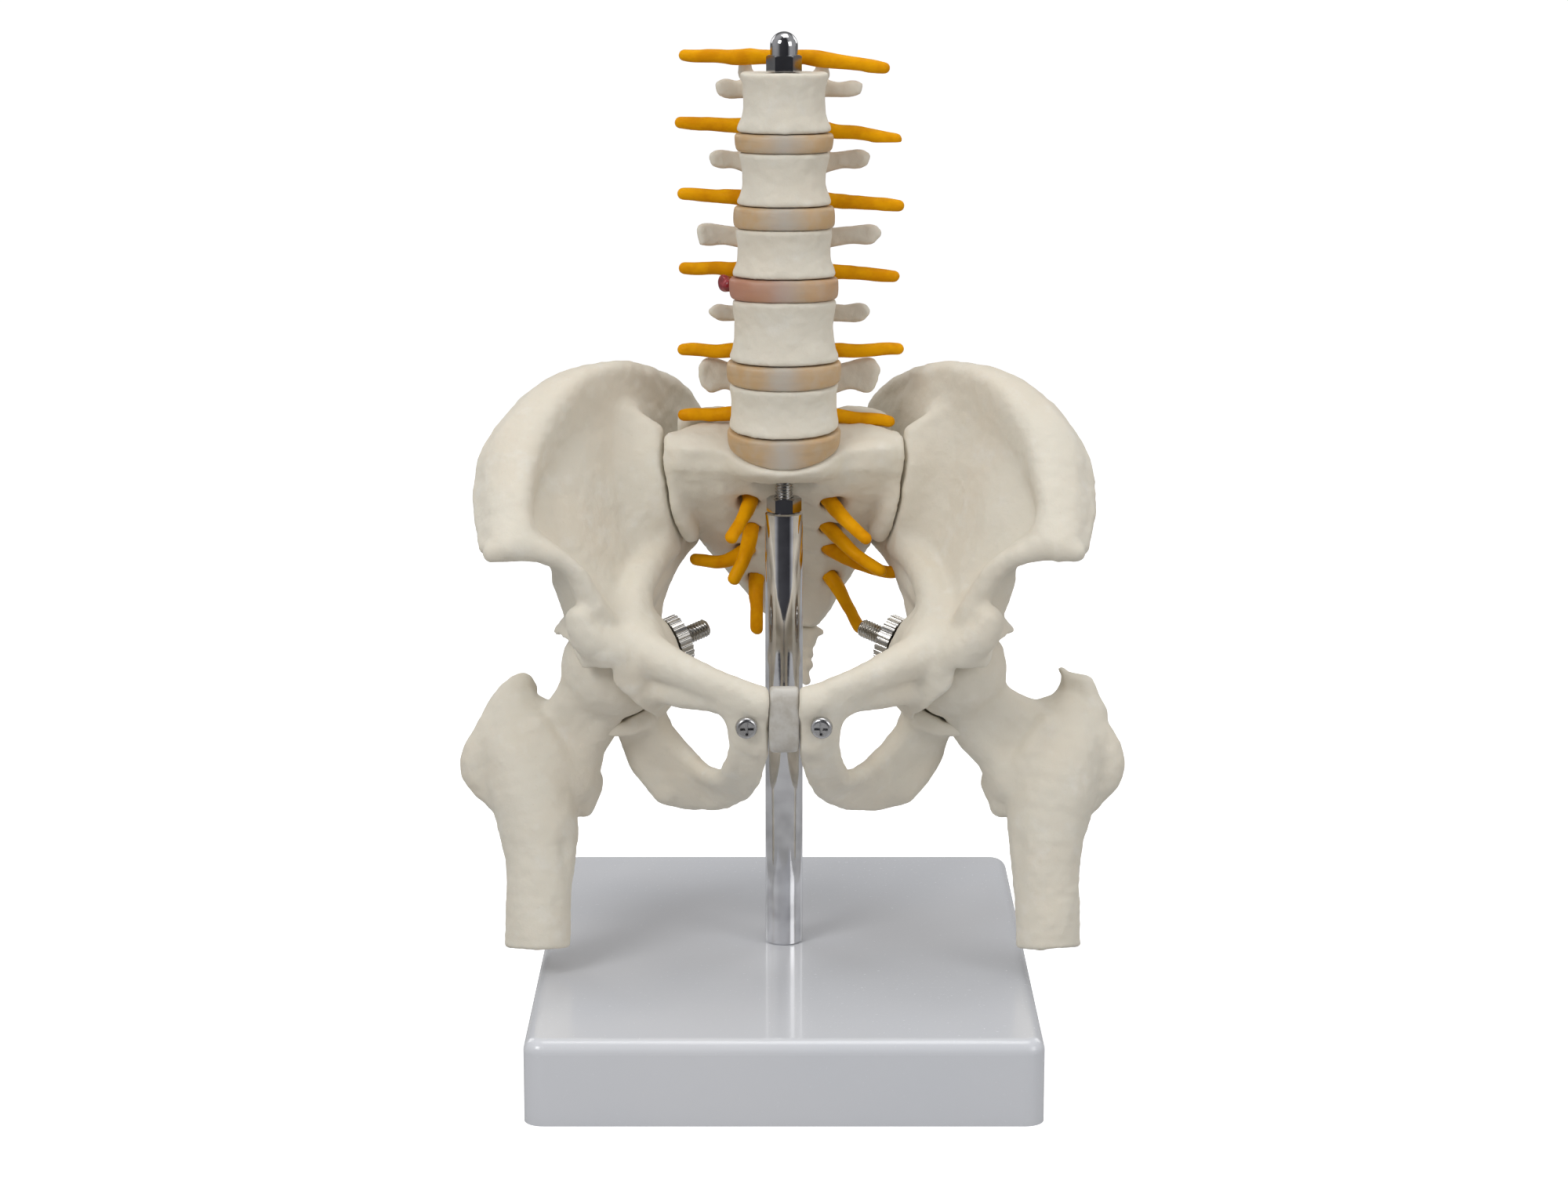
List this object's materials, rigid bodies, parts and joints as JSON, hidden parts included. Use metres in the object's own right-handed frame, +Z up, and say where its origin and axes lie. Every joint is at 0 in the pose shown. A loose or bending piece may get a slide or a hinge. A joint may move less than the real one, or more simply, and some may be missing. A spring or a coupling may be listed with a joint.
{
  "type": "lumbar spine and pelvis skeleton model",
  "caption": "Lumbar spine, sacrum and pelvis with thigh bone stubs, strung on a rod over a box base; vertebrae twist and thighs swing in their sockets.",
  "frame": {"origin": "centre of the base's underside, on the stand rod's axis", "axes": "+Z up along the stand rod; the model faces -Y; +X towards the model's own left side"},
  "size_m": [0.1738, 0.17, 0.2656],
  "materials": {
    "base_plastic": "moulded, glossy pale grey",
    "cover_plastic": "moulded, fine matt texture",
    "zinc_steel": "bright zinc plating",
    "chrome_plate": "polished chrome plating",
    "nickel_steel": "dull nickel plating",
    "screw_steel": "zinc plated",
    "clear_plastic": "cloudy translucent",
    "disc_plastic": "soft, satin, tan",
    "red_plastic": "soft, glossy dark red",
    "nerve_plastic": "soft, satin yellow-orange",
    "bone_plastic": "satin ivory bone"
  },
  "bodies": {
    "stand_and_pelvis": {"base_bottom_cover": "cover_plastic", "base_screw": "zinc_steel", "base_shell": "base_plastic", "base_washer": "zinc_steel", "cap_nut": "chrome_plate", "cauda_equina": "nerve_plastic", "coccyx": "bone_plastic", "disc_L5_S1": "disc_plastic", "left_hip_bone": "bone_plastic", "lock_nut": "zinc_steel", "pubic_disc": "clear_plastic", "pubic_screws": "screw_steel", "right_hip_bone": "bone_plastic", "sacral_nerves_S1": "nerve_plastic", "sacral_nerves_S2": "nerve_plastic", "sacral_nerves_S3": "nerve_plastic", "sacral_nerves_S4": "nerve_plastic", "sacroiliac_screws": "screw_steel", "sacrum": "bone_plastic", "spine_threaded_rod": "zinc_steel", "stand_rod": "chrome_plate"},
    "lumbar_L5": {"vertebra_L5": "bone_plastic", "nerve_pair_L5": "nerve_plastic", "disc_L4_L5": "disc_plastic"},
    "lumbar_L4": {"vertebra_L4": "bone_plastic", "nerve_pair_L4": "nerve_plastic", "disc_L3_L4": "disc_plastic", "herniated_nucleus": "red_plastic"},
    "lumbar_L3": {"vertebra_L3": "bone_plastic", "nerve_pair_L3": "nerve_plastic", "disc_L2_L3": "disc_plastic"},
    "lumbar_L2": {"vertebra_L2": "bone_plastic", "nerve_pair_L2": "nerve_plastic", "disc_L1_L2": "disc_plastic"},
    "lumbar_L1": {"vertebra_L1": "bone_plastic", "nerve_pair_L1": "nerve_plastic", "nerve_pair_T12": "nerve_plastic"},
    "left_thigh": {"left_femur": "bone_plastic", "left_hip_stud": "nickel_steel"},
    "left_hip_nut": {"left_thumb_nut": "nickel_steel"},
    "right_thigh": {"right_femur": "bone_plastic", "right_hip_stud": "nickel_steel"},
    "right_hip_nut": {"right_thumb_nut": "nickel_steel"}
  },
  "joints": [
    {"name": "L5_twist", "type": "hinge", "parent": "stand_and_pelvis", "child": "lumbar_L5", "pos_m": [0, 0, 0.2], "axis": [0, 0, 1], "range_deg": [-3, 3]},
    {"name": "L4_twist", "type": "hinge", "parent": "lumbar_L5", "child": "lumbar_L4", "pos_m": [0, 0, 0.2], "axis": [0, 0, 1], "range_deg": [-3, 3]},
    {"name": "L3_twist", "type": "hinge", "parent": "lumbar_L4", "child": "lumbar_L3", "pos_m": [0, 0, 0.2], "axis": [0, 0, 1], "range_deg": [-3, 3]},
    {"name": "L2_twist", "type": "hinge", "parent": "lumbar_L3", "child": "lumbar_L2", "pos_m": [0, 0, 0.2], "axis": [0, 0, 1], "range_deg": [-3, 3]},
    {"name": "L1_twist", "type": "hinge", "parent": "lumbar_L2", "child": "lumbar_L1", "pos_m": [0, 0, 0.2], "axis": [0, 0, 1], "range_deg": [-3, 3]},
    {"name": "left_hip_swing", "type": "hinge", "parent": "stand_and_pelvis", "child": "left_thigh", "pos_m": [0.045, -0.014, 0.101], "axis": [-0.86, 0.42, 0.29], "range_deg": [-8, 40]},
    {"name": "left_nut_turn", "type": "hinge", "parent": "left_thigh", "child": "left_hip_nut", "pos_m": [0.045, -0.014, 0.101], "axis": [-0.86, 0.42, 0.29], "continuous": true},
    {"name": "right_hip_swing", "type": "hinge", "parent": "stand_and_pelvis", "child": "right_thigh", "pos_m": [-0.045, -0.014, 0.101], "axis": [-0.86, -0.42, -0.29], "range_deg": [-8, 40]},
    {"name": "right_nut_turn", "type": "hinge", "parent": "right_thigh", "child": "right_hip_nut", "pos_m": [-0.045, -0.014, 0.101], "axis": [0.86, 0.42, 0.29], "continuous": true}
  ]
}
